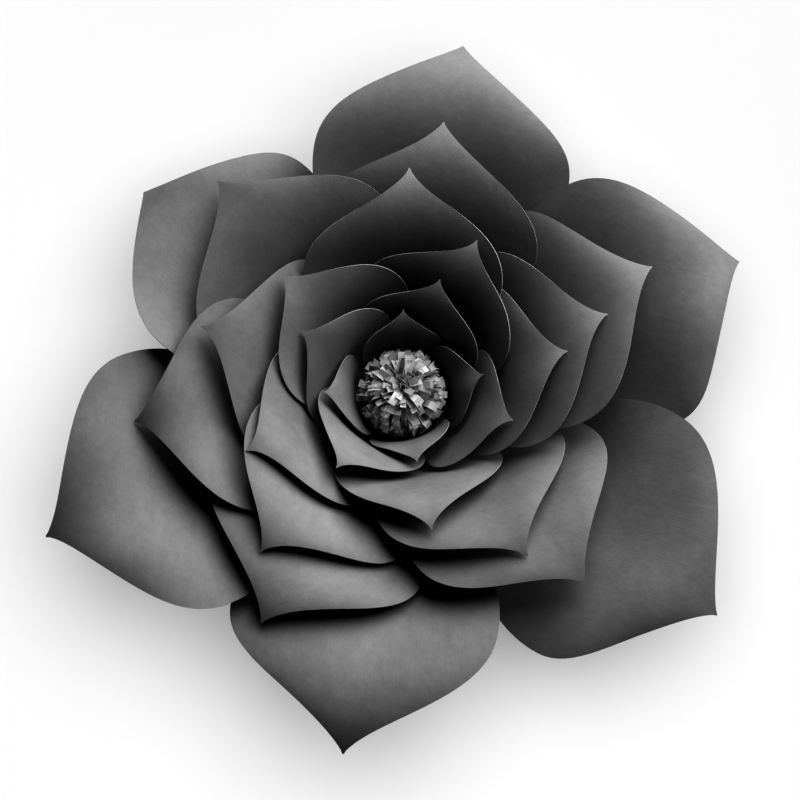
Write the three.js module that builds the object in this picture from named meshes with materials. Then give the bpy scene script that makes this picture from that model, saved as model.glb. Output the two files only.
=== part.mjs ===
// Giant paper flower: thirty cut and curled card petals in six rings round a ball of paper fringe,
// all glued to a card disc. The flower lies on its back: +Z runs out of its face along its axis, and
// +Y is the way its top petal points. The origin is the middle of the disc's back face.
// Lengths are millimetres and angles are degrees.
import * as THREE from 'three';

// ---- Card and disc ----
const CARD_THICKNESS = 0.4;
const GLUE_GAP = 0.3; // between two pieces that are glued face to face
const DISC_RADIUS = 50;
const DISC_THICKNESS = 1.2;
const DISC_SIDES = 48;

// ---- What all petals share ----
const TAB_LENGTH = 6; // flat tab at the root, glued to the stack
const TAB_END_HALF_WIDTH = 3;
const ROOT_HALF_WIDTH = 5.5;
const TIP_HALF_WIDTH = 0.4;
const RISE_END = 0.35; // share of the length over which a petal turns up from the disc
const CURL_START = 0.5; // share of the length where the outward curl begins
const CURL_POWER = 1.8; // how late the curl tightens
const FLANK_POWER = 1.5; // how slowly a petal widens from its root
const SHOULDER_POWER = 2.4; // how full a petal stays past its widest part
const TIP_SHARE = 0.25; // share of the width that runs straight into the tip
const CUP_FULL = 0.3; // share of the length where the cross-section reaches its full cup
const CUP_EASE = 0.35; // share of the length where the cup begins to open out
const CUP_LOSS = 0.85; // share of the cup that is gone at the tip
const LEAN_FULL = 0.4; // share of the length over which a petal rolls to its lean
const ROLL_START = 0.3; // share of the length where the margins begin to roll back
const ROLL_FULL = 0.65; // share of the length where they have rolled back fully
const ROLL_TAPER = 0.6; // how soon the roll fades as the petal narrows
const ROLL_POWER = 2; // how much of the roll is at the very margin
const MIDRIB_STEPS = 12; // steps of the sum along the midrib in each row
const SECTION_STEPS = 24; // steps of the sum from the midrib out to a point of the section

// ---- Fringed centre ----
const BALL_RADIUS = 25.5;
const BALL_CENTRE_HEIGHT = 38;
const CORE_RADIUS = 9;
const CORE_HEIGHT = 9;
const BALL_SIDES = 28;
const BALL_STEPS = 12;

// ---- Rings, from the innermost to the outermost ----
// length, halfWidth: the cut petal; widest: share of the length where it is widest
// point: how sharply it draws in to its tip; rootRadius: from the axis to the fold of the tab
// rootAngle, wallAngle, tipAngle: slope of the midrib above the disc
// cupRadius: of the cross-section; marginRoll: how far the margins roll back
// Petals run clockwise, seen from the front, and each one has
// heading: anticlockwise from +X; tilt: added to the slope; scale: cut larger or smaller
// curl: extra outward curl at the tip; lean: roll that lifts the anticlockwise side
// cupLeft, cupRight, rollLeft, rollRight: shares of the cup and of the margin roll on either side,
// where left is the anticlockwise side
const RINGS = [
  {
    length: 69, halfWidth: 23, widest: 0.58, point: 2, rootRadius: 12,
    rootAngle: 26, wallAngle: 81, tipAngle: 10, cupRadius: 28, marginRoll: 14,
    rows: 12, columns: 6,
    petals: [
      { heading: 185, tilt: 3, scale: 1, curl: 0, lean: 3,
        cupLeft: 1, cupRight: 0.6, rollLeft: 1, rollRight: 1 },
      { heading: 89, tilt: 4, scale: 1, curl: 0, lean: 3,
        cupLeft: 1, cupRight: 0.6, rollLeft: 1, rollRight: 1.2 },
      { heading: 8, tilt: 1, scale: 1, curl: 0, lean: 3,
        cupLeft: 1, cupRight: 0.6, rollLeft: 0.6, rollRight: 1 },
      { heading: -79, tilt: 3, scale: 1, curl: 0, lean: 3,
        cupLeft: 1, cupRight: 0.8, rollLeft: 1, rollRight: 0.4 },
    ],
  },
  {
    length: 88, halfWidth: 36, widest: 0.57, point: 2.3, rootRadius: 14,
    rootAngle: 18, wallAngle: 76, tipAngle: 2, cupRadius: 34, marginRoll: 18,
    rows: 13, columns: 8,
    petals: [
      { heading: 153, tilt: 2, scale: 1, curl: 0, lean: -4,
        cupLeft: 0.6, cupRight: 1, rollLeft: 1, rollRight: 0.8 },
      { heading: 70, tilt: 3, scale: 1, curl: 0, lean: -4,
        cupLeft: 0.7, cupRight: 1, rollLeft: 0.5, rollRight: 1 },
      { heading: -19, tilt: 0, scale: 1, curl: 0, lean: 2,
        cupLeft: 0.7, cupRight: 0.8, rollLeft: 1, rollRight: 0.4 },
      { heading: -127, tilt: 6, scale: 1, curl: 10, lean: 0,
        cupLeft: 1, cupRight: 1, rollLeft: 1, rollRight: 1 },
    ],
  },
  {
    length: 112, halfWidth: 47, widest: 0.57, point: 2.5, rootRadius: 16,
    rootAngle: 13, wallAngle: 68, tipAngle: -12, cupRadius: 46, marginRoll: 20,
    rows: 14, columns: 8,
    petals: [
      { heading: 138, tilt: 4, scale: 1, curl: 15, lean: 0,
        cupLeft: 1, cupRight: 1, rollLeft: 0.3, rollRight: 0.3 },
      { heading: 62, tilt: 3, scale: 1, curl: 0, lean: -4,
        cupLeft: 0.65, cupRight: 1, rollLeft: 0.5, rollRight: 0.5 },
      { heading: 10, tilt: 1, scale: 1.02, curl: 0, lean: -6,
        cupLeft: 0.4, cupRight: 0.8, rollLeft: 0.8, rollRight: 1 },
      { heading: -79, tilt: 5, scale: 0.98, curl: 0, lean: -3,
        cupLeft: 0.6, cupRight: 0.8, rollLeft: 1, rollRight: 1 },
      { heading: -155, tilt: 0, scale: 1.03, curl: -5, lean: 0,
        cupLeft: 0.6, cupRight: 0.8, rollLeft: 1, rollRight: 0.4 },
    ],
  },
  {
    length: 134, halfWidth: 56, widest: 0.57, point: 2.6, rootRadius: 18,
    rootAngle: 9, wallAngle: 60, tipAngle: -24, cupRadius: 60, marginRoll: 22,
    rows: 15, columns: 8,
    petals: [
      { heading: 165, tilt: 3, scale: 0.98, curl: 0, lean: 0,
        cupLeft: 0.3, cupRight: 0.4, rollLeft: 0.6, rollRight: 0.8 },
      { heading: 88, tilt: 3, scale: 1.02, curl: 5, lean: 0,
        cupLeft: 0.8, cupRight: 1.2, rollLeft: 0.7, rollRight: 0.4 },
      { heading: 18, tilt: 1, scale: 1, curl: 0, lean: -3,
        cupLeft: 0.65, cupRight: 1, rollLeft: 0.5, rollRight: 1 },
      { heading: -55, tilt: 1, scale: 1, curl: 0, lean: -3,
        cupLeft: 0.5, cupRight: 1, rollLeft: 1, rollRight: 1 },
      { heading: -129, tilt: 0, scale: 1.02, curl: 0, lean: -5,
        cupLeft: 0.5, cupRight: 1.2, rollLeft: 1, rollRight: 0.8 },
    ],
  },
  {
    length: 160, halfWidth: 63, widest: 0.58, point: 2.6, rootRadius: 19,
    rootAngle: 6, wallAngle: 50, tipAngle: -37, cupRadius: 78, marginRoll: 22,
    rows: 16, columns: 8,
    petals: [
      { heading: 132, tilt: 0, scale: 1, curl: 0, lean: -5,
        cupLeft: 0.7, cupRight: 1, rollLeft: 0.3, rollRight: 1 },
      { heading: 81, tilt: 3, scale: 0.99, curl: 0, lean: -4,
        cupLeft: 0.5, cupRight: 0.7, rollLeft: 1, rollRight: 0.8 },
      { heading: 25, tilt: 1, scale: 1, curl: 0, lean: -5,
        cupLeft: 0.4, cupRight: 1, rollLeft: 1, rollRight: 1 },
      { heading: -48, tilt: 1, scale: 0.98, curl: 0, lean: -2,
        cupLeft: 0.5, cupRight: 1, rollLeft: 1, rollRight: 1 },
      { heading: -120, tilt: 0, scale: 1, curl: 0, lean: 0,
        cupLeft: 0.4, cupRight: 0.3, rollLeft: 1, rollRight: 1 },
      { heading: -172, tilt: 0, scale: 0.97, curl: 10, lean: 0,
        cupLeft: 1, cupRight: 1, rollLeft: 0.3, rollRight: 1 },
    ],
  },
  {
    length: 208, halfWidth: 74, widest: 0.61, point: 2.4, rootRadius: 21,
    rootAngle: 3, wallAngle: 36, tipAngle: -42, cupRadius: 110, marginRoll: 22,
    rows: 18, columns: 8,
    petals: [
      { heading: 142, tilt: 2, scale: 0.89, curl: 25, lean: 3,
        cupLeft: 1, cupRight: 0.7, rollLeft: 0, rollRight: 1 },
      { heading: 80, tilt: 4, scale: 0.96, curl: 16, lean: 3,
        cupLeft: 1, cupRight: 0.5, rollLeft: 1, rollRight: 1 },
      { heading: 21, tilt: 1, scale: 0.97, curl: 16, lean: 4,
        cupLeft: 1, cupRight: 0.5, rollLeft: 1, rollRight: 1.6 },
      { heading: -36, tilt: -2, scale: 1.01, curl: 10, lean: 4,
        cupLeft: 1, cupRight: 0.5, rollLeft: 1, rollRight: 1.4 },
      { heading: -99, tilt: 3, scale: 0.98, curl: 12, lean: 3,
        cupLeft: 1, cupRight: 0.5, rollLeft: 1, rollRight: 1 },
      { heading: -157, tilt: 0, scale: 1.01, curl: 8, lean: 3,
        cupLeft: 1, cupRight: 0.8, rollLeft: 1, rollRight: 0.3 },
    ],
  },
];

// ---- Finishes ----
const petalCard = new THREE.MeshStandardMaterial({ color: 0x3a3a3c, roughness: 0.75, metalness: 0 });
const baseCard = new THREE.MeshStandardMaterial({ color: 0x2c2c2e, roughness: 0.85, metalness: 0 });
const fringePaper = new THREE.MeshStandardMaterial({ color: 0x8f8f90, roughness: 0.8, metalness: 0 });

const radians = THREE.MathUtils.degToRad;
const clamp01 = (x) => THREE.MathUtils.clamp(x, 0, 1);
const smooth = (x) => THREE.MathUtils.smoothstep(x, 0, 1);

// Slope of the midrib, in radians, at the share u of the petal's length.
function midribSlope(ring, petal, u) {
  const rise = (ring.wallAngle - ring.rootAngle + petal.tilt) * smooth(u / RISE_END);
  const curlShare = clamp01((u - CURL_START) / (1 - CURL_START)) ** CURL_POWER;
  const curl = (ring.tipAngle - ring.wallAngle - petal.curl) * curlShare;
  return radians(ring.rootAngle + rise + curl);
}

// Half the width of the cut petal at the share u of its length: a flank, a shoulder and an ogee tip.
function halfWidthAt(ring, scale, u) {
  const full = ring.halfWidth * scale;
  if (u < ring.widest) {
    const flank = Math.sin((Math.PI / 2) * (u / ring.widest)) ** FLANK_POWER;
    return ROOT_HALF_WIDTH + (full - ROOT_HALF_WIDTH) * flank;
  }
  const beyond = (u - ring.widest) / (1 - ring.widest);
  const shoulder = (1 - TIP_SHARE) * (1 - beyond ** SHOULDER_POWER) ** ring.point;
  return Math.max(full * (shoulder + TIP_SHARE * (1 - beyond ** 2)), TIP_HALF_WIDTH);
}

// How far the cross-section turns up from the midrib to a margin, in radians, at the share u of
// the length, where the petal is halfWidth wide on either side.
function cupAt(ring, halfWidth, u) {
  const opening = 1 - CUP_LOSS * smooth((u - CUP_EASE) / (1 - CUP_EASE));
  return (clamp01(u / CUP_FULL) * opening * halfWidth) / ring.cupRadius;
}

// How far the margins roll back there, in radians.
function rollAt(ring, scale, halfWidth, u) {
  const taper = (halfWidth / (ring.halfWidth * scale)) ** ROLL_TAPER;
  return radians(ring.marginRoll) * smooth((u - ROLL_START) / (ROLL_FULL - ROLL_START)) * taper;
}

// Which way the card faces across one station, in radians, at the share of the way from the midrib
// to a margin. The share is positive on the left.
function facingAt(petal, at, share) {
  const cup = at.cup * (share > 0 ? petal.cupLeft : petal.cupRight);
  const roll = at.roll * (share > 0 ? petal.rollLeft : petal.rollRight);
  return cup * share - roll * Math.sign(share) * Math.abs(share) ** ROLL_POWER;
}

// The point at that share, and the way the card faces there, in the frame of the station:
// [sideways, up, facing sideways, facing up].
function sectionPoint(petal, at, share) {
  const step = (share * at.halfWidth) / SECTION_STEPS;
  let side = 0;
  let up = 0;
  for (let i = 0; i < SECTION_STEPS; i++) {
    const passed = facingAt(petal, at, (share * (i + 0.5)) / SECTION_STEPS);
    side += Math.cos(passed) * step;
    up += Math.sin(passed) * step;
  }
  const c = Math.cos(at.lean);
  const s = Math.sin(at.lean);
  const facing = facingAt(petal, at, share) + at.lean;
  return [side * c - up * s, side * s + up * c, -Math.sin(facing), Math.cos(facing)];
}

// The stations of a petal, from the inner end of its tab to its tip. Each one has the radius,
// height and slope of the midrib, the half width, the cup, the margin roll and the lean.
function stations(ring, petal, rootHeight) {
  const length = ring.length * petal.scale;
  const step = length / (ring.rows * MIDRIB_STEPS);
  const root = { slope: 0, cup: 0, roll: 0, lean: 0, height: rootHeight };
  const list = [
    { ...root, radius: ring.rootRadius - TAB_LENGTH, halfWidth: TAB_END_HALF_WIDTH },
    { ...root, radius: ring.rootRadius, halfWidth: ROOT_HALF_WIDTH },
  ];
  let radius = ring.rootRadius;
  let height = rootHeight;
  for (let row = 1; row <= ring.rows; row++) {
    for (let part = 0; part < MIDRIB_STEPS; part++) {
      const middle = (row - 1 + (part + 0.5) / MIDRIB_STEPS) / ring.rows;
      const slope = midribSlope(ring, petal, middle);
      radius += Math.cos(slope) * step;
      height += Math.sin(slope) * step;
    }
    const u = row / ring.rows;
    const halfWidth = halfWidthAt(ring, petal.scale, u);
    list.push({
      radius,
      height,
      slope: midribSlope(ring, petal, u),
      halfWidth,
      cup: cupAt(ring, halfWidth, u),
      roll: rollAt(ring, petal.scale, halfWidth, u),
      lean: radians(petal.lean) * smooth(u / LEAN_FULL),
    });
  }
  return list;
}

// A closed sheet of card: a front face, a back face and the cut edge between them. The petal
// heads along +X, and its anticlockwise side is +Y.
function petalGeometry(ring, petal, rootHeight) {
  const rows = stations(ring, petal, rootHeight);
  const perRow = ring.columns + 1;
  const half = CARD_THICKNESS / 2;
  const positions = [];
  for (const face of [half, -half]) {
    for (const at of rows) {
      for (let column = 0; column < perRow; column++) {
        const share = (2 * column) / ring.columns - 1;
        const [side, up, sideways, upwards] = sectionPoint(petal, at, share);
        const lift = up + face * upwards;
        positions.push(
          at.radius - Math.sin(at.slope) * lift,
          side + face * sideways,
          at.height + Math.cos(at.slope) * lift,
        );
      }
    }
  }
  const backOffset = rows.length * perRow;
  const indices = [];
  const quad = (a, b, c, d) => indices.push(a, b, c, a, c, d);
  for (let row = 0; row + 1 < rows.length; row++) {
    const start = row * perRow;
    for (let column = 0; column < ring.columns; column++) {
      const a = start + column;
      const b = a + perRow;
      quad(a, b, b + 1, a + 1);
      quad(backOffset + a, backOffset + a + 1, backOffset + b + 1, backOffset + b);
    }
    const left = start + ring.columns;
    quad(start, backOffset + start, backOffset + start + perRow, start + perRow);
    quad(left, left + perRow, backOffset + left + perRow, backOffset + left);
  }
  const last = (rows.length - 1) * perRow;
  for (let column = 0; column < ring.columns; column++) {
    quad(column, column + 1, backOffset + column + 1, backOffset + column);
    const tip = last + column;
    quad(tip, backOffset + tip, backOffset + tip + 1, tip + 1);
  }
  const geometry = new THREE.BufferGeometry();
  geometry.setAttribute('position', new THREE.Float32BufferAttribute(positions, 3));
  geometry.setIndex(indices);
  geometry.computeVertexNormals();
  return geometry;
}

// The card disc that everything is glued to.
function baseDisc() {
  const geometry = new THREE.CylinderGeometry(DISC_RADIUS, DISC_RADIUS, DISC_THICKNESS, DISC_SIDES);
  const mesh = new THREE.Mesh(geometry, baseCard);
  mesh.name = 'base_disc';
  mesh.rotation.x = Math.PI / 2;
  mesh.position.z = DISC_THICKNESS / 2;
  return mesh;
}

// The rolled strip of fringe: a tight core below, opened out into a ball above.
function fringedCentre(footHeight) {
  const neck = Math.asin(CORE_RADIUS / BALL_RADIUS);
  const profile = [
    new THREE.Vector2(0, footHeight),
    new THREE.Vector2(CORE_RADIUS, footHeight),
    new THREE.Vector2(CORE_RADIUS, footHeight + CORE_HEIGHT / 2),
  ];
  for (let i = 0; i <= BALL_STEPS; i++) {
    const angle = neck + ((Math.PI - neck) * i) / BALL_STEPS;
    const radius = i === BALL_STEPS ? 0 : BALL_RADIUS * Math.sin(angle);
    profile.push(new THREE.Vector2(radius, BALL_CENTRE_HEIGHT - BALL_RADIUS * Math.cos(angle)));
  }
  const mesh = new THREE.Mesh(new THREE.LatheGeometry(profile, BALL_SIDES), fringePaper);
  mesh.name = 'fringed_centre';
  mesh.rotation.x = Math.PI / 2;
  return mesh;
}

const flower = new THREE.Group();
flower.add(baseDisc());

const stackPitch = CARD_THICKNESS + GLUE_GAP;
RINGS.forEach((ring, index) => {
  const below = RINGS.length - 1 - index;
  const rootHeight = DISC_THICKNESS + GLUE_GAP + CARD_THICKNESS / 2 + below * stackPitch;
  ring.petals.forEach((petal, number) => {
    const mesh = new THREE.Mesh(petalGeometry(ring, petal, rootHeight), petalCard);
    mesh.name = `ring_${index + 1}_petal_${number + 1}`;
    mesh.rotation.z = radians(petal.heading);
    flower.add(mesh);
  });
});

flower.add(fringedCentre(DISC_THICKNESS + GLUE_GAP + RINGS.length * stackPitch));

export default flower;
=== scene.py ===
"""The looks of the giant paper flower: thirty curled card petals round a ball of paper fringe.

Each petal is cut and curled again here by the rule that its CAD node follows, on a much finer
grid, so it lies where that node lies. Lengths are metres unless a name ends in _MM, and angles
are degrees.
"""
import math
import random

import bpy
import numpy as np
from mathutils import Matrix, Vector


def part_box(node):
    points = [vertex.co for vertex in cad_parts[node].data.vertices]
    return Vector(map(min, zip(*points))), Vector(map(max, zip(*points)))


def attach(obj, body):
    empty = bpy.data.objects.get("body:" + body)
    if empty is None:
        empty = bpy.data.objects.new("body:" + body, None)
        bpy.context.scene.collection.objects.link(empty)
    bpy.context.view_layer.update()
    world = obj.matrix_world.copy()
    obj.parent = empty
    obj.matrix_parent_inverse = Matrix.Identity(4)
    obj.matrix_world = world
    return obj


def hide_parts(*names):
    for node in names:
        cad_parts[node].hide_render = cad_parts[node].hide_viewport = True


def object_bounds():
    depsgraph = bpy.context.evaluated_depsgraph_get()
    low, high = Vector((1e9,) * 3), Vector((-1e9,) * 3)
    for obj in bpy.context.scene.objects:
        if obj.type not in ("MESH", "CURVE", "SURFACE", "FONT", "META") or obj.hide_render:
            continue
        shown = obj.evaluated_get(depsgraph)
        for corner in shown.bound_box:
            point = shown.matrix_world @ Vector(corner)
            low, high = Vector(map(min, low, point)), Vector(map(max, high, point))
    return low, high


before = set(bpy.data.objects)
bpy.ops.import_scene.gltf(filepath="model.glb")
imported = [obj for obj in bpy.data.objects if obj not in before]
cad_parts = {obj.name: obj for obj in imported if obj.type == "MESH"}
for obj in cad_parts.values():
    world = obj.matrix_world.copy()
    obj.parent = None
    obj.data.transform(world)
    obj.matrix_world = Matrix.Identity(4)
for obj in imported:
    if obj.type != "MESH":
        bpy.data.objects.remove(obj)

MM = 0.001
CAD_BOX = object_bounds()

# ---- Card and disc, in millimetres ----
CARD_THICKNESS_MM = 0.4
GLUE_GAP_MM = 0.3  # between two pieces that are glued face to face

# ---- What all petals share ----
TAB_LENGTH_MM = 6.0  # flat tab at the root, glued to the stack
TAB_END_HALF_WIDTH_MM = 3.0
ROOT_HALF_WIDTH_MM = 5.5
TIP_HALF_WIDTH_MM = 0.4
RISE_END = 0.35  # share of the length over which a petal turns up from the disc
CURL_START = 0.5  # share of the length where the outward curl begins
CURL_POWER = 1.8  # how late the curl tightens
FLANK_POWER = 1.5  # how slowly a petal widens from its root
SHOULDER_POWER = 2.4  # how full a petal stays past its widest part
TIP_SHARE = 0.25  # share of the width that runs straight into the tip
CUP_FULL = 0.3  # share of the length where the cross-section reaches its full cup
CUP_EASE = 0.35  # share of the length where the cup begins to open out
CUP_LOSS = 0.85  # share of the cup that is gone at the tip
LEAN_FULL = 0.4  # share of the length over which a petal rolls to its lean
ROLL_START = 0.3  # share of the length where the margins begin to roll back
ROLL_FULL = 0.65  # share of the length where they have rolled back fully
ROLL_TAPER = 0.6  # how soon the roll fades as the petal narrows
ROLL_POWER = 2.0  # how much of the roll is at the very margin

# ---- How finely a petal is made, and how unevenly it was cut and curled by hand ----
PETAL_ROWS = 72
PETAL_COLUMNS = 48
TAB_ROWS = 3
MIDRIB_STEPS = 12  # steps of the sum along the midrib in each row
SECTION_STEPS = 24  # steps of the sum from the midrib out to a point of the section
RIPPLE_MM = 0.45  # how far the free part of a petal waves out of its even curl
RIPPLES = ((1.3, 0.7), (2.1, 1.6), (0.9, 2.4))  # half waves along and across a petal
RIPPLE_START = 0.45  # share of the length where the waves begin
RIPPLE_EASE = 0.5  # share of the length over which they grow
CUT_WOBBLE_MM = 0.25  # how far the scissors strayed
CUT_WAVES = (5, 9, 14)  # how quickly they strayed and came back, in radians to a length
CUT_START = 0.3  # share of the length over which the straying grows
CUT_END = 0.05  # share of the length over which it ends at the tip
CRISP_ANGLE = 35  # edges sharper than this are drawn crisp, in degrees

# ---- Grain of the card ----
LINEN_SCALE = 0.26  # gives threads about 1.2 mm apart
SHEET_SIZE_MM = 500  # of the sheets that the petals are cut from
BACK_OFFSET_MM = 7.0  # between the grain of a petal's front and of its back

# ---- Rings, from the innermost to the outermost, as in the CAD ----
# length, half width, widest, point, root radius, root, wall and tip angle, cup radius, margin roll
RING_SHAPES = (
    (69, 23, 0.58, 2.0, 12, 26, 81, 10, 28, 14),
    (88, 36, 0.57, 2.3, 14, 18, 76, 2, 34, 18),
    (112, 47, 0.57, 2.5, 16, 13, 68, -12, 46, 20),
    (134, 56, 0.57, 2.6, 18, 9, 60, -24, 60, 22),
    (160, 63, 0.58, 2.6, 19, 6, 50, -37, 78, 22),
    (208, 74, 0.61, 2.4, 21, 3, 36, -42, 110, 22),
)
# heading, tilt, scale, curl, lean, then shares of the cup and of the margin roll on either side:
# cup left, cup right, roll left, roll right, where left is the anticlockwise side
RING_PETALS = (
    (
        (185, 3, 1, 0, 3, 1, 0.6, 1, 1),
        (89, 4, 1, 0, 3, 1, 0.6, 1, 1.2),
        (8, 1, 1, 0, 3, 1, 0.6, 0.6, 1),
        (-79, 3, 1, 0, 3, 1, 0.8, 1, 0.4),
    ),
    (
        (153, 2, 1, 0, -4, 0.6, 1, 1, 0.8),
        (70, 3, 1, 0, -4, 0.7, 1, 0.5, 1),
        (-19, 0, 1, 0, 2, 0.7, 0.8, 1, 0.4),
        (-127, 6, 1, 10, 0, 1, 1, 1, 1),
    ),
    (
        (138, 4, 1, 15, 0, 1, 1, 0.3, 0.3),
        (62, 3, 1, 0, -4, 0.65, 1, 0.5, 0.5),
        (10, 1, 1.02, 0, -6, 0.4, 0.8, 0.8, 1),
        (-79, 5, 0.98, 0, -3, 0.6, 0.8, 1, 1),
        (-155, 0, 1.03, -5, 0, 0.6, 0.8, 1, 0.4),
    ),
    (
        (165, 3, 0.98, 0, 0, 0.3, 0.4, 0.6, 0.8),
        (88, 3, 1.02, 5, 0, 0.8, 1.2, 0.7, 0.4),
        (18, 1, 1, 0, -3, 0.65, 1, 0.5, 1),
        (-55, 1, 1, 0, -3, 0.5, 1, 1, 1),
        (-129, 0, 1.02, 0, -5, 0.5, 1.2, 1, 0.8),
    ),
    (
        (132, 0, 1, 0, -5, 0.7, 1, 0.3, 1),
        (81, 3, 0.99, 0, -4, 0.5, 0.7, 1, 0.8),
        (25, 1, 1, 0, -5, 0.4, 1, 1, 1),
        (-48, 1, 0.98, 0, -2, 0.5, 1, 1, 1),
        (-120, 0, 1, 0, 0, 0.4, 0.3, 1, 1),
        (-172, 0, 0.97, 10, 0, 1, 1, 0.3, 1),
    ),
    (
        (142, 2, 0.89, 25, 3, 1, 0.7, 0, 1),
        (80, 4, 0.96, 16, 3, 1, 0.5, 1, 1),
        (21, 1, 0.97, 16, 4, 1, 0.5, 1, 1.6),
        (-36, -2, 1.01, 10, 4, 1, 0.5, 1, 1.4),
        (-99, 3, 0.98, 12, 3, 1, 0.5, 1, 1),
        (-157, 0, 1.01, 8, 3, 1, 0.8, 1, 0.3),
    ),
)

# ---- Fringed centre, its angles in degrees ----
FRINGE_STRIPS = 360
BAND_HEIGHT_MM = 9.0  # the uncut band that is rolled into the core
CORE_SHARE = 0.36  # radius of the core, as a share of the ball's
CORE_FILL = 0.94  # share of the core that the strips stand on
LEAST_TURN_MM = 1.2  # tightest radius of the roll
FRINGE_SWEEP = 118  # how far from the axis the outermost strips reach
LEAST_REACH = 2  # how far from the axis the innermost strips stay
STRIP_SCATTER = 9  # how far a strip strays from its even place
STRIP_SWERVE = 16  # how far a strip's end swings round the axis
STRIP_BEND = (35, 100)  # how far beyond the radius of the ball a strip's end bends over
BEND_EASE = 0.6  # how far from the axis, in radians, the strips reach their full bend
STRIP_TWIST = 34  # how much the strips twist
STRIP_REACH = (0.83, 1.0)  # where the strips end, as a share of the ball's radius
LEAVING_PULL = 1.25  # how straight a strip leaves the band
ARRIVING_PULL = 1.1  # how straight it runs into its end
STRIP_WIDTH_MM = (3.3, 4.8)
STRIP_ROOT_SHARE = 0.4  # width of a strip where it leaves the band, as a share of the full width
STRIP_THICKNESS_MM = 0.16
STRIP_CROWN_MM = 0.15  # how far a strip is hollowed across its width
STRIP_LENGTH_MM = 24.0
STRIP_STEPS = 10
STRIP_COLUMNS = (-0.5, 0.0, 0.5)
STRIP_OFFSET_MM = 31.0  # between the grain of one strip and of the next
STRIP_BACK_OFFSET_MM = 9.0  # between the grain of a strip's front and of its back

# ---- Camera, floor and light ----
VIEW_ELEVATION = 80
VIEW_DISTANCE = 1.5
VIEW_WIDTH = 0.44  # what the picture spans at the ball's distance
SENSOR_MM = 36
AIM_OFFSET = Vector((-0.0011, -0.0038, -0.0007))  # from the middle of the ball
FLOOR_WIDTH = 24.0
FLOOR_GAP = 0.2 * MM  # below the back of the disc
# Each light comes from a direction, has a strength, and is spread over so many degrees
KEY_DIRECTION = Vector((0.44, 0.72, 0.50))
KEY_STRENGTH = 13.6
KEY_SPREAD = 70
CENTRE_DIRECTION = Vector((0.6, -0.5, 0.65))
CENTRE_STRENGTH = 1.9
CENTRE_SPREAD = 35
FLOOR_DIRECTION = Vector((0.15, 0.15, 1.0))
FLOOR_STRENGTH = 2.2
WASH_STRENGTH = 3.0  # of the light on the floor that the flower doesn't shade
FLOOR_SPREAD = 80
FILL_DIRECTION = Vector((0, 0, 1))
FILL_STRENGTH = 0.012
FILL_SPREAD = 180
VIEW_GAMMA = 0.62


def smooth(x):
    """The smooth step from 0 at 0 to 1 at 1."""
    x = np.clip(x, 0.0, 1.0)
    return x * x * (3 - 2 * x)


# ---------------------------------------------------------------- materials


class Shader:
    """A short way to write the nodes of one material."""

    def __init__(self, name):
        self.material = bpy.data.materials.new(name)
        self.material.use_nodes = True
        self.tree = self.material.node_tree
        self.tree.nodes.clear()
        output = self.tree.nodes.new("ShaderNodeOutputMaterial")
        principled = self.tree.nodes.new("ShaderNodeBsdfPrincipled")
        self.surface = principled.inputs
        self.link(principled.outputs["BSDF"], output.inputs["Surface"])

    def link(self, source, target):
        self.tree.links.new(source, target)

    def node(self, kind, values=None, **settings):
        """A node with its settings, and with its inputs set or linked."""
        made = self.tree.nodes.new("ShaderNode" + kind)
        for key, value in settings.items():
            setattr(made, key, value)
        for key, value in (values or {}).items():
            if isinstance(value, bpy.types.NodeSocket):
                self.link(value, made.inputs[key])
            else:
                made.inputs[key].default_value = value
        return made

    def product(self, a, b):
        return self.node("Math", {0: a, 1: b}, operation="MULTIPLY").outputs[0]

    def noise(self, vector, scale, detail, roughness):
        values = {"Vector": vector, "Scale": scale, "Detail": detail, "Roughness": roughness}
        return self.node("TexNoise", values).outputs["Fac"]

    def grain(self, scale, detail, roughness, turn=0.0):
        """Noise on the flat sheet, with so many features to a millimetre along each of its axes."""
        values = {"Vector": self.sheet(), "Scale": scale, "Rotation": (0, 0, math.radians(turn))}
        place = self.node("Mapping", values).outputs["Vector"]
        return self.noise(place, 1.0, detail, roughness)

    def sheet(self):
        """Where a point lies on its own flat sheet of card or paper, in millimetres."""
        return self.node("Attribute", attribute_name="sheet").outputs["Vector"]

    def ramp(self, value, low, high, to_low, to_high):
        """The value, with the range from low to high mapped to another."""
        values = {"Value": value, "From Min": low, "From Max": high}
        values.update({"To Min": to_low, "To Max": to_high})
        return self.node("MapRange", values).outputs["Result"]

    def grey(self, value, tint=(1.0, 1.0, 1.0)):
        """A colour of that brightness, times a tint."""
        parts = [self.product(value, share) for share in tint]
        return self.node("CombineColor", dict(enumerate(parts))).outputs["Color"]

    def threads(self, direction):
        """Close, slightly wandering bands that run across one direction of the sheet."""
        values = {"Vector": self.sheet(), "Scale": LINEN_SCALE, "Distortion": 1.8}
        values.update({"Detail": 2.0, "Detail Scale": 0.8})
        wave = self.node("TexWave", values, wave_type="BANDS", bands_direction=direction)
        return wave.outputs["Fac"]

    def bump(self, height, distance_mm, strength, normal=None):
        values = {"Height": height, "Distance": distance_mm * MM, "Strength": strength}
        if normal is not None:
            values["Normal"] = normal
        return self.node("Bump", values).outputs["Normal"]


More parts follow.
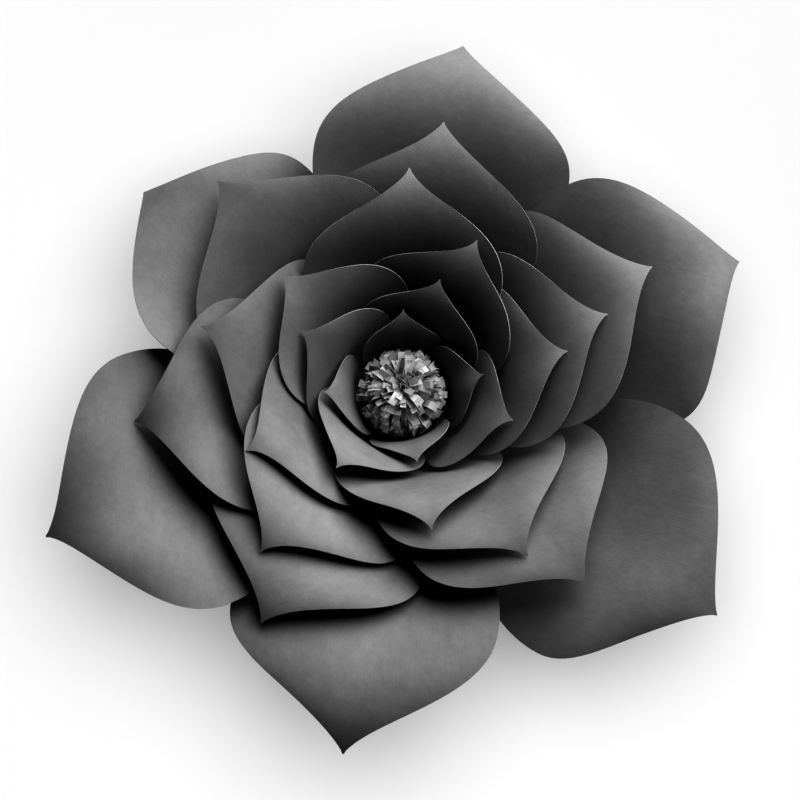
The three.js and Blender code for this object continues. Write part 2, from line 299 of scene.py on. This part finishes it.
def petal_card_material():
    """Charcoal card: dyed through, lightly embossed like linen, a little cloudy, nearly matt."""
    shader = Shader("charcoal_card")
    cloud = shader.grain((0.03, 0.03, 0.03), 4.0, 0.55)
    fibre = shader.grain((1.6, 0.5, 1.0), 3.0, 0.6, turn=25)
    flecks = shader.grain((0.9, 0.9, 0.9), 2.0, 0.6)
    mottle = shader.grain((0.26, 0.16, 0.2), 4.0, 0.6, turn=-18)
    tone = shader.ramp(cloud, 0.3, 0.7, 0.098, 0.122)
    tone = shader.product(tone, shader.ramp(mottle, 0.3, 0.7, 0.93, 1.07))
    tone = shader.product(tone, shader.ramp(fibre, 0.25, 0.75, 0.93, 1.07))
    tone = shader.product(tone, shader.ramp(flecks, 0.6, 0.75, 1.0, 1.1))
    shader.link(shader.grey(tone, (1.0, 1.0, 1.012)), shader.surface["Base Color"])
    shader.link(shader.ramp(cloud, 0.3, 0.7, 0.58, 0.68), shader.surface["Roughness"])
    shader.surface["Specular IOR Level"].default_value = 0.3
    linen = shader.product(shader.threads("X"), shader.threads("Y"))
    embossed = shader.bump(linen, 0.05, 0.45)
    grained = shader.bump(fibre, 0.06, 0.5, embossed)
    lumpy = shader.bump(mottle, 0.16, 0.5, grained)
    shader.link(shader.bump(cloud, 0.8, 0.5, lumpy), shader.surface["Normal"])
    return shader.material


def pale_edge_with_painted_highlight_material():
    """The cut edge of the card, where the paler fibres show, drawn paler still as a painted
    highlight of the thin edge catching the light.
    """
    shader = Shader("card_cut_edge_with_painted_highlight")
    fibre = shader.grain((2.5, 2.5, 2.5), 3.0, 0.65)
    # partly paler fibres, partly painted highlight: the edge gets about three times the card's tone
    # so it reads as a thin bright line
    tone = shader.ramp(fibre, 0.3, 0.7, 0.26, 0.4)
    shader.link(shader.grey(tone), shader.surface["Base Color"])
    shader.surface["Roughness"].default_value = 0.8
    shader.link(shader.bump(fibre, 0.1, 0.6), shader.surface["Normal"])
    return shader.material


def base_card_material():
    """Dark grey board, pressed from coarse fibres."""
    shader = Shader("dark_board")
    place = shader.node("NewGeometry").outputs["Position"]
    turned = {"Vector": place, "Scale": (900, 300, 600), "Rotation": (0, 0, math.radians(35))}
    fibre = shader.noise(shader.node("Mapping", turned).outputs["Vector"], 1.0, 4.0, 0.6)
    cloud = shader.noise(place, 45.0, 3.0, 0.5)
    tone = shader.ramp(cloud, 0.3, 0.7, 0.022, 0.034)
    tone = shader.product(tone, shader.ramp(fibre, 0.3, 0.7, 0.8, 1.25))
    shader.link(shader.grey(tone), shader.surface["Base Color"])
    shader.link(shader.ramp(fibre, 0.3, 0.7, 0.75, 0.9), shader.surface["Roughness"])
    shader.link(shader.bump(fibre, 0.15, 0.6), shader.surface["Normal"])
    return shader.material


def fringe_material():
    """Grey paper, a little different from strip to strip."""
    shader = Shader("fringe_paper")
    strip = shader.node("Attribute", attribute_name="strip_tone").outputs["Fac"]
    fibre = shader.grain((2.2, 0.8, 1.0), 3.0, 0.6)
    cloud = shader.grain((0.2, 0.2, 0.2), 2.0, 0.5)
    tone = shader.ramp(strip, 0.0, 1.0, 0.18, 0.28)
    tone = shader.product(tone, shader.ramp(fibre, 0.25, 0.75, 0.9, 1.1))
    tone = shader.product(tone, shader.ramp(cloud, 0.3, 0.7, 0.92, 1.06))
    shader.link(shader.grey(tone), shader.surface["Base Color"])
    shader.link(shader.ramp(fibre, 0.25, 0.75, 0.6, 0.75), shader.surface["Roughness"])
    shader.link(shader.bump(fibre, 0.05, 0.5), shader.surface["Normal"])
    return shader.material


def floor_material():
    """Plain pale studio floor."""
    shader = Shader("studio_floor")
    place = shader.node("NewGeometry").outputs["Position"]
    tone = shader.ramp(shader.noise(place, 1.5, 2.0, 0.5), 0.3, 0.7, 0.6, 0.62)
    shader.link(shader.grey(tone), shader.surface["Base Color"])
    shader.surface["Roughness"].default_value = 0.9
    shader.surface["Specular IOR Level"].default_value = 0.2
    return shader.material


# ---------------------------------------------------------------- meshes


def add_object(name, points, faces, materials, material_of_face, sheet):
    """A named object from arrays of points and quads, smooth but for its crisp edges."""
    mesh = bpy.data.meshes.new(name)
    mesh.from_pydata(points.tolist(), [], faces.tolist())
    for material in materials:
        mesh.materials.append(material)
    mesh.polygons.foreach_set("material_index", material_of_face)
    mesh.polygons.foreach_set("use_smooth", np.ones(len(faces), bool))
    attribute = mesh.attributes.new("sheet", "FLOAT_VECTOR", "POINT")
    attribute.data.foreach_set("vector", sheet.astype(np.float32).ravel())
    mesh.set_sharp_from_angle(angle=math.radians(CRISP_ANGLE))
    made = bpy.data.objects.new(name, mesh)
    bpy.context.scene.collection.objects.link(made)
    return made


def shell_faces(rows, columns):
    """Quads of a closed sheet whose front grid of points is followed by its back grid, and
    for each quad whether it is on the cut edge."""
    index = np.arange(rows * columns).reshape(rows, columns)
    back = index + rows * columns
    corners = index[:-1, :-1], index[1:, :-1], index[1:, 1:], index[:-1, 1:]
    front_quads = np.stack(corners, -1).reshape(-1, 4)
    back_quads = front_quads[:, ::-1] + rows * columns
    first = np.stack((index[:-1, 0], back[:-1, 0], back[1:, 0], index[1:, 0]), -1)
    last = np.stack((index[:-1, -1], index[1:, -1], back[1:, -1], back[:-1, -1]), -1)
    start = np.stack((index[0, :-1], index[0, 1:], back[0, 1:], back[0, :-1]), -1)
    end = np.stack((index[-1, :-1], back[-1, :-1], back[-1, 1:], index[-1, 1:]), -1)
    rim = np.concatenate((first, last, start, end))
    on_edge = np.repeat((0, 1), (2 * len(front_quads), len(rim)))
    return np.concatenate((front_quads, back_quads, rim)), on_edge


# ---------------------------------------------------------------- petals


class Petal:
    """One petal, cut from flat card and curled. All its lengths are millimetres."""

    def __init__(self, ring_number, number):
        shape = RING_SHAPES[ring_number - 1]
        self.length, self.half_width, self.widest, self.point = shape[:4]
        self.root_radius, self.root_angle, self.wall_angle, self.tip_angle = shape[4:8]
        self.cup_radius, self.margin_roll = shape[8:]
        values = RING_PETALS[ring_number - 1][number - 1]
        self.heading, self.tilt, scale, self.curl = values[:4]
        self.lean, self.cup_left, self.cup_right, self.roll_left, self.roll_right = values[4:]
        self.length *= scale
        self.half_width *= scale
        self.node = f"ring_{ring_number}_petal_{number}"
        self.dice = random.Random(100 * ring_number + number)
        pitch = CARD_THICKNESS_MM + GLUE_GAP_MM
        disc_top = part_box("base_disc")[1].z / MM
        below = len(RING_SHAPES) - ring_number
        self.root_height = disc_top + GLUE_GAP_MM + CARD_THICKNESS_MM / 2 + below * pitch

    def slope(self, u):
        """Slope of the midrib, in radians, at the share u of the length."""
        rise = (self.wall_angle - self.root_angle + self.tilt) * smooth(u / RISE_END)
        share = np.clip((u - CURL_START) / (1 - CURL_START), 0, 1) ** CURL_POWER
        curl = (self.tip_angle - self.wall_angle - self.curl) * share
        return np.radians(self.root_angle + rise + curl)

    def half_width_at(self, u):
        """Half the width of the cut card: a flank, a shoulder and an ogee tip."""
        turn = np.pi / 2 * np.clip(u / self.widest, 0, 1)
        room = self.half_width - ROOT_HALF_WIDTH_MM
        flank = ROOT_HALF_WIDTH_MM + room * np.sin(turn) ** FLANK_POWER
        beyond = np.clip((u - self.widest) / (1 - self.widest), 0, 1)
        shoulder = (1 - TIP_SHARE) * (1 - beyond**SHOULDER_POWER) ** self.point
        shoulder = self.half_width * (shoulder + TIP_SHARE * (1 - beyond**2))
        return np.where(u < self.widest, flank, np.maximum(shoulder, TIP_HALF_WIDTH_MM))

    def cup(self, u):
        """Curvature of the cross-section before either side's share of it."""
        opening = 1 - CUP_LOSS * smooth((u - CUP_EASE) / (1 - CUP_EASE))
        return np.clip(u / CUP_FULL, 0, 1) * opening / self.cup_radius

    def midrib(self):
        """Radius and height of the midrib at each row, from the fold of the tab to the tip."""
        fine = (np.arange(PETAL_ROWS * MIDRIB_STEPS) + 0.5) / (PETAL_ROWS * MIDRIB_STEPS)
        slope = self.slope(fine)
        step = self.length / len(fine)
        run = np.cumsum(np.cos(slope)).reshape(PETAL_ROWS, -1)[:, -1] * step
        climb = np.cumsum(np.sin(slope)).reshape(PETAL_ROWS, -1)[:, -1] * step
        radius = self.root_radius + np.concatenate(([0.0], run))
        height = self.root_height + np.concatenate(([0.0], climb))
        return radius, height

    def facing(self, v, cup, roll):
        """Which way the card faces at the share v across: cupped, with its margins rolled back."""
        cupped = v * cup * np.where(v > 0, self.cup_left, self.cup_right)
        rolled = roll * np.where(v > 0, self.roll_left, self.roll_right)
        return cupped - rolled * np.sign(v) * np.abs(v) ** ROLL_POWER

    def section(self, u, v, wide):
        """The cross-section at each row and column: which way the card faces, and how far it
        lies to the side of the midrib and above it."""
        cup = self.cup(u) * wide
        roll = math.radians(self.margin_roll) * smooth((u - ROLL_START) / (ROLL_FULL - ROLL_START))
        roll = roll * (wide / self.half_width) ** ROLL_TAPER
        inward = (np.arange(SECTION_STEPS) + 0.5) / SECTION_STEPS
        passed = self.facing(v[..., None] * inward, cup[..., None], roll[..., None])
        reach = v * wide
        side = np.cos(passed).mean(-1) * reach
        up = np.sin(passed).mean(-1) * reach
        return self.facing(v, cup, roll), side, up

    def ripple(self, u, v):
        """How far the card waves out of its even curl, nothing at all near the root."""
        total = 0.0
        for along, across in RIPPLES:
            size = self.dice.uniform(0.5, 1.0) / along
            phase = self.dice.uniform(0, 2 * math.pi)
            total = total + size * np.sin(math.pi * (along * u + across * v) + phase)
        return RIPPLE_MM * smooth((u - RIPPLE_START) / RIPPLE_EASE) * total

    def wobble(self, u):
        """How far a cut edge strays from the drawn outline."""
        total = 0.0
        for waves in CUT_WAVES:
            phase = self.dice.uniform(0, 2 * math.pi)
            total = total + np.sin(waves * u + phase) / len(CUT_WAVES)
        return CUT_WOBBLE_MM * total * smooth(u / CUT_START) * smooth((1 - u) / CUT_END)

    def surface(self):
        """Front and back points of the card, and where each lies on the flat sheet."""
        u = np.linspace(0, 1, PETAL_ROWS + 1)
        radius, height = self.midrib()
        slope = self.slope(u)
        slope[0] = 0.0
        half_width = self.half_width_at(u)
        lean = np.radians(self.lean) * smooth(u / LEAN_FULL)
        tab = np.linspace(0, 1, TAB_ROWS + 1)[:-1]
        flat = np.zeros(TAB_ROWS)
        tab_width = TAB_END_HALF_WIDTH_MM + (ROOT_HALF_WIDTH_MM - TAB_END_HALF_WIDTH_MM) * tab
        radius = np.concatenate((self.root_radius - TAB_LENGTH_MM * (1 - tab), radius))
        height = np.concatenate((flat + self.root_height, height))
        slope = np.concatenate((flat, slope))
        lean = np.concatenate((flat, lean))
        half_width = np.concatenate((tab_width, half_width))
        share = np.concatenate((flat, u))
        along = np.concatenate((-TAB_LENGTH_MM * (1 - tab), u * self.length))

        v = np.linspace(-1, 1, PETAL_COLUMNS + 1)[None, :]
        column = share[:, None]
        left, right = self.wobble(column), self.wobble(column)
        wide = half_width[:, None] + np.where(v > 0, left, right)
        across = v * wide
        turn, side, up = self.section(column, v, wide)
        c, s = np.cos(lean)[:, None], np.sin(lean)[:, None]
        side, up = side * c - up * s, side * s + up * c
        facing = turn + lean[:, None]
        wave = self.ripple(column, across / self.half_width)
        heading = math.radians(self.heading)
        faces = []
        for face in (CARD_THICKNESS_MM / 2, -CARD_THICKNESS_MM / 2):
            lift = up + (face + wave) * np.cos(facing)
            y = side - (face + wave) * np.sin(facing)
            x = radius[:, None] - np.sin(slope)[:, None] * lift
            z = height[:, None] + np.cos(slope)[:, None] * lift
            turned = x * math.cos(heading) - y * math.sin(heading)
            risen = x * math.sin(heading) + y * math.cos(heading)
            faces.append(np.stack((turned, risen, z), -1))
        sheet = np.stack((along[:, None] + 0 * across, across, 0 * across), -1)
        return faces[0], faces[1], sheet

    def build(self, card, edge):
        """The petal as an object, cut at its own angle from its own part of the card."""
        front, back, sheet = self.surface()
        rows, columns = front.shape[:2]
        faces, on_edge = shell_faces(rows, columns)
        points = np.concatenate((front.reshape(-1, 3), back.reshape(-1, 3))) * MM
        grain = math.radians(self.dice.uniform(0, 180))
        c, s = math.cos(grain), math.sin(grain)
        flat = sheet.reshape(-1, 3) @ np.array(((c, s, 0), (-s, c, 0), (0, 0, 1)))
        shift = [self.dice.uniform(0, SHEET_SIZE_MM) for _ in range(3)]
        both = np.concatenate((flat, flat + (0, 0, BACK_OFFSET_MM))) + shift
        made = add_object(f"{self.node}_card", points, faces, (card, edge), on_edge, both)
        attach(made, "root")
        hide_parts(self.node)
        return made


def build_petals():
    card = petal_card_material()
    edge = pale_edge_with_painted_highlight_material()
    made = []
    for ring_number, petals in enumerate(RING_PETALS, start=1):
        for number in range(1, len(petals) + 1):
            made.append(Petal(ring_number, number).build(card, edge))
    return made


# ---------------------------------------------------------------- fringed centre


def strip_path(start, end, end_angle, t):
    """A curve in the plane of radius and height that leaves start upwards and arrives at end at
    that angle from the vertical, and its directions."""
    start, end = np.array(start), np.array(end)
    reach = np.linalg.norm(end - start)
    leave = np.array((0.0, 1.0)) * reach * LEAVING_PULL
    arrive = np.array((math.sin(end_angle), math.cos(end_angle))) * reach * ARRIVING_PULL
    t = t[:, None]
    points = (
        (2 * t**3 - 3 * t**2 + 1) * start
        + (t**3 - 2 * t**2 + t) * leave
        + (-2 * t**3 + 3 * t**2) * end
        + (t**3 - t**2) * arrive
    )
    ways = (
        (6 * t**2 - 6 * t) * start
        + (3 * t**2 - 4 * t + 1) * leave
        + (6 * t - 6 * t**2) * end
        + (3 * t**2 - 2 * t) * arrive
    )
    return points, ways / np.linalg.norm(ways, axis=1)[:, None]


class FringeBall:
    """A strip of paper cut into a fringe, rolled up, and fluffed out into a ball. All its lengths
    are millimetres."""

    def __init__(self):
        low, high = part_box("fringed_centre")
        self.radius = (high.x - low.x) / 2 / MM
        self.centre = np.array((0, 0, high.z / MM - self.radius))
        self.band_top = low.z / MM + BAND_HEIGHT_MM
        self.dice = random.Random(7)
        self.turn = 0.0

    def either_way(self, degrees):
        return math.radians(self.dice.uniform(-degrees, degrees))

    def strip(self, share):
        """The front and back of the strip that starts that share of the way out of the roll, on
        grids of points, and its width."""
        core = CORE_SHARE * self.radius * math.sqrt(share) * CORE_FILL
        width = self.dice.uniform(*STRIP_WIDTH_MM)
        self.turn += width / max(core, LEAST_TURN_MM)
        reach = math.acos(1 - share * (1 - math.cos(math.radians(FRINGE_SWEEP))))
        reach += self.either_way(STRIP_SCATTER)
        reach = max(reach, math.radians(LEAST_REACH))
        out = self.radius * self.dice.uniform(*STRIP_REACH)
        end = (out * math.sin(reach), self.centre[2] + out * math.cos(reach))
        bend = math.radians(self.dice.uniform(*STRIP_BEND)) * min(1, reach / BEND_EASE)
        t = np.linspace(0, 1, STRIP_STEPS + 1)
        path, ways = strip_path((core, self.band_top), end, reach + bend, t)
        azimuth = self.turn + self.either_way(STRIP_SWERVE) * t**1.5
        twist = math.radians(self.dice.gauss(0, STRIP_TWIST)) * t**1.3
        wide = width * np.clip(STRIP_ROOT_SHARE + 1.6 * t, 0, 1)
        wide = np.minimum(wide, 1.6 * path[:, 0] + 1.5)
        c, s = np.cos(azimuth), np.sin(azimuth)
        middle = np.stack((path[:, 0] * c, path[:, 0] * s, path[:, 1]), -1)
        forward = np.stack((ways[:, 0] * c, ways[:, 0] * s, ways[:, 1]), -1)
        sideways = np.stack((-s, c, 0 * s), -1)
        normal = np.cross(forward, sideways)
        across = sideways * np.cos(twist)[:, None] + normal * np.sin(twist)[:, None]
        normal = np.cross(forward, across)
        sides = []
        for face in (STRIP_THICKNESS_MM / 2, -STRIP_THICKNESS_MM / 2):
            side = []
            for step in STRIP_COLUMNS:
                crown = STRIP_CROWN_MM * (1 - 4 * step * step) * t
                place = middle + across * (step * wide)[:, None]
                side.append(place + normal * (face - crown)[:, None])
            sides.append(np.stack(side, 1))
        front, back = sides
        excess = np.linalg.norm(front[-1] - self.centre, axis=-1).max() / self.radius
        if excess > 1:
            for side in sides:
                side[-1] = (side[-1] - self.centre) / excess + self.centre
        return front, back, width

    def build(self):
        """All the strips as one object, each with its own tone and its own part of the paper."""
        quads, _ = shell_faces(STRIP_STEPS + 1, len(STRIP_COLUMNS))
        points, faces, sheets, tones = [], [], [], []
        along = np.repeat(np.linspace(0, 1, STRIP_STEPS + 1) * STRIP_LENGTH_MM, len(STRIP_COLUMNS))
        for number in range(FRINGE_STRIPS):
            front, back, width = self.strip((number + 0.5) / FRINGE_STRIPS)
            points.append(np.concatenate((front.reshape(-1, 3), back.reshape(-1, 3))))
            faces.append(quads + number * len(points[-1]))
            across = np.tile(STRIP_COLUMNS, STRIP_STEPS + 1) * width
            flat = np.stack((along, across, 0 * along), -1) + (0, 0, STRIP_OFFSET_MM * number)
            sheets.append(np.concatenate((flat, flat + (0, 0, STRIP_BACK_OFFSET_MM))))
            tones.append(np.full(len(points[-1]), self.dice.random()))
        faces = np.concatenate(faces)
        made = add_object(
            "fringed_centre_paper",
            np.concatenate(points) * MM,
            faces,
            (fringe_material(),),
            np.zeros(len(faces), int),
            np.concatenate(sheets),
        )
        attribute = made.data.attributes.new("strip_tone", "FLOAT", "POINT")
        attribute.data.foreach_set("value", np.concatenate(tones).astype(np.float32))
        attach(made, "root")
        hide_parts("fringed_centre")
        return made


def finish_disc():
    """The card disc keeps its CAD shape and takes a board's surface."""
    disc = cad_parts["base_disc"]
    disc.data.materials.clear()
    disc.data.materials.append(base_card_material())
    return disc


# ---------------------------------------------------------------- studio


def build_floor():
    """A wide pale floor level with the back of the flower."""
    half = FLOOR_WIDTH / 2
    level = CAD_BOX[0].z - FLOOR_GAP
    corners = np.array(((-half, -half), (half, -half), (half, half), (-half, half)))
    points = np.column_stack((corners, np.full(4, level)))
    quad = np.array(((0, 1, 2, 3),))
    floor = add_object("floor", points, quad, (floor_material(),), np.zeros(1, int), points)
    return floor


def collection_of(name, pieces):
    """A collection, outside the scene's own, of the pieces that a light is linked to."""
    made = bpy.data.collections.new(name)
    for piece in pieces:
        made.objects.link(piece)
    return made


def add_sun(name, direction, strength, spread, lit, shading=None):
    """A sun that lights only the lit objects. Only the shading objects shade it, or else all."""
    sun = bpy.data.lights.new(name, "SUN")
    sun.energy = strength
    sun.angle = math.radians(spread)
    lamp = bpy.data.objects.new(name, sun)
    lamp.rotation_mode = "QUATERNION"
    lamp.rotation_quaternion = direction.to_track_quat("Z", "Y")
    bpy.context.scene.collection.objects.link(lamp)
    lamp.light_linking.receiver_collection = collection_of(f"{name}_receivers", lit)
    if shading is not None:
        lamp.light_linking.blocker_collection = collection_of(f"{name}_blockers", shading)


def build_lights(flower, centre, floor):
    """A broad low key from the upper right on the flower, a smaller light on its centre, a
    little fill, a soft top light on the floor, and a white backdrop that lights nothing."""
    add_sun("key", KEY_DIRECTION, KEY_STRENGTH, KEY_SPREAD, flower)
    add_sun("centre_light", CENTRE_DIRECTION, CENTRE_STRENGTH, CENTRE_SPREAD, [centre])
    add_sun("floor_light", FLOOR_DIRECTION, FLOOR_STRENGTH, FLOOR_SPREAD, [floor])
    add_sun("floor_wash", FLOOR_DIRECTION, WASH_STRENGTH, FLOOR_SPREAD, [floor], [floor])
    add_sun("fill", FILL_DIRECTION, FILL_STRENGTH, FILL_SPREAD, flower)
    world = bpy.data.worlds.new("studio")
    world.use_nodes = True
    background = world.node_tree.nodes["Background"]
    background.inputs["Color"].default_value = (1.0, 1.0, 1.0, 1.0)
    background.inputs["Strength"].default_value = 1.0
    world.cycles_visibility.diffuse = False
    world.cycles_visibility.glossy = False
    bpy.context.scene.world = world


def build_camera():
    """Looks down on the flower from a little below its middle."""
    low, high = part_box("fringed_centre")
    ball_radius = (high.x - low.x) / 2
    ball = Vector(((low.x + high.x) / 2, (low.y + high.y) / 2, high.z - ball_radius))
    elevation = math.radians(VIEW_ELEVATION)
    back = Vector((0, -math.cos(elevation), math.sin(elevation)))
    camera = bpy.data.cameras.new("camera")
    camera.sensor_width = SENSOR_MM
    camera.lens = SENSOR_MM * VIEW_DISTANCE / VIEW_WIDTH
    camera.clip_start = 0.05
    camera.clip_end = 100
    stand = bpy.data.objects.new("camera", camera)
    stand.location = ball + AIM_OFFSET + back * VIEW_DISTANCE
    stand.rotation_mode = "QUATERNION"
    stand.rotation_quaternion = back.to_track_quat("Z", "Y")
    bpy.context.scene.collection.objects.link(stand)
    bpy.context.scene.camera = stand


fringe = FringeBall().build()
build_lights([*build_petals(), fringe, finish_disc()], fringe, build_floor())
build_camera()
bpy.context.scene.view_settings.view_transform = "Standard"
bpy.context.scene.view_settings.gamma = VIEW_GAMMA
